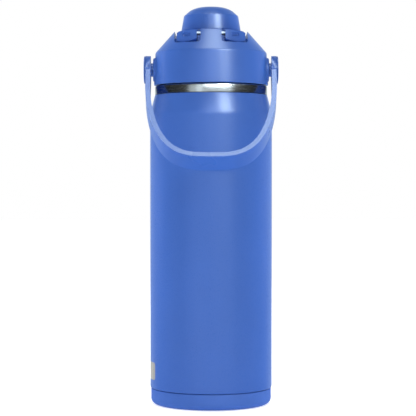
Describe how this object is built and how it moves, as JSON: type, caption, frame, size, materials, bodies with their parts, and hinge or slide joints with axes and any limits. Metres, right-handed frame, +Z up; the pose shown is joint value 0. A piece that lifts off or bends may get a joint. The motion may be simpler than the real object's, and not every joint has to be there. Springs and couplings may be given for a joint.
{
  "type": "large water jug",
  "caption": "Tall double-walled drinking bottle with a screwed lid, a hinged quarter-turn drinking cap over a spout and a swinging carry handle.",
  "frame": {"origin": "centre of the flat face that the bottle stands on", "axes": "+Z up along the bottle's axis; the cap's hinge and the hanging handle are on the -Y side, the cap's thumb tab on +Y, the handle's pivots on the X axis"},
  "size_m": [0.0974, 0.1029, 0.2863],
  "materials": {
    "powder_coat": "satin powder coat",
    "boot_rubber": "matt",
    "lid_plastic": "satin",
    "inner_plastic": "satin",
    "steel": "brushed",
    "silicone": "matt",
    "magnet": "nickel plated",
    "brazing": "dull",
    "getter": "sintered"
  },
  "bodies": {
    "bottle": {"outer_shell": "powder_coat", "outer_base": "steel", "inner_flask": "steel", "neck_ring": "steel", "getter_pad": "getter", "vacuum_port_plug": "brazing", "base_boot": "boot_rubber"},
    "lid": {"lid_shell": "lid_plastic", "lid_liner": "inner_plastic", "mouth_gasket": "silicone", "drink_spout": "inner_plastic", "spout_o_ring": "silicone", "hinge_pin": "steel", "collar_magnet": "magnet", "pivot_pin_left": "steel", "pivot_pin_right": "steel", "pivot_bush_left": "lid_plastic", "pivot_bush_right": "lid_plastic"},
    "yoke": {"hinge_yoke": "lid_plastic"},
    "cap": {"cap_dome": "lid_plastic", "cap_liner": "inner_plastic", "cap_seal": "silicone", "cap_magnet": "magnet"},
    "handle": {"carry_handle": "lid_plastic", "pivot_cover_left": "lid_plastic", "pivot_cover_right": "lid_plastic"}
  },
  "joints": [
    {"name": "lid_lift", "type": "slide", "parent": "bottle", "child": "lid", "axis": [0, 0, 1], "range_m": [0, 0.06]},
    {"name": "cap_hinge", "type": "hinge", "parent": "lid", "child": "yoke", "pos_m": [0, -0.0265, 0.2653], "axis": [1, 0, 0], "range_deg": [0, 150]},
    {"name": "cap_twist", "type": "hinge", "parent": "yoke", "child": "cap", "pos_m": [0, 0, 0.2689], "axis": [0, 0, 1], "range_deg": [0, 90]},
    {"name": "handle_swing", "type": "hinge", "parent": "lid", "child": "handle", "pos_m": [0, 0, 0.2412], "axis": [-1, 0, 0], "range_deg": [0, 284]}
  ]
}
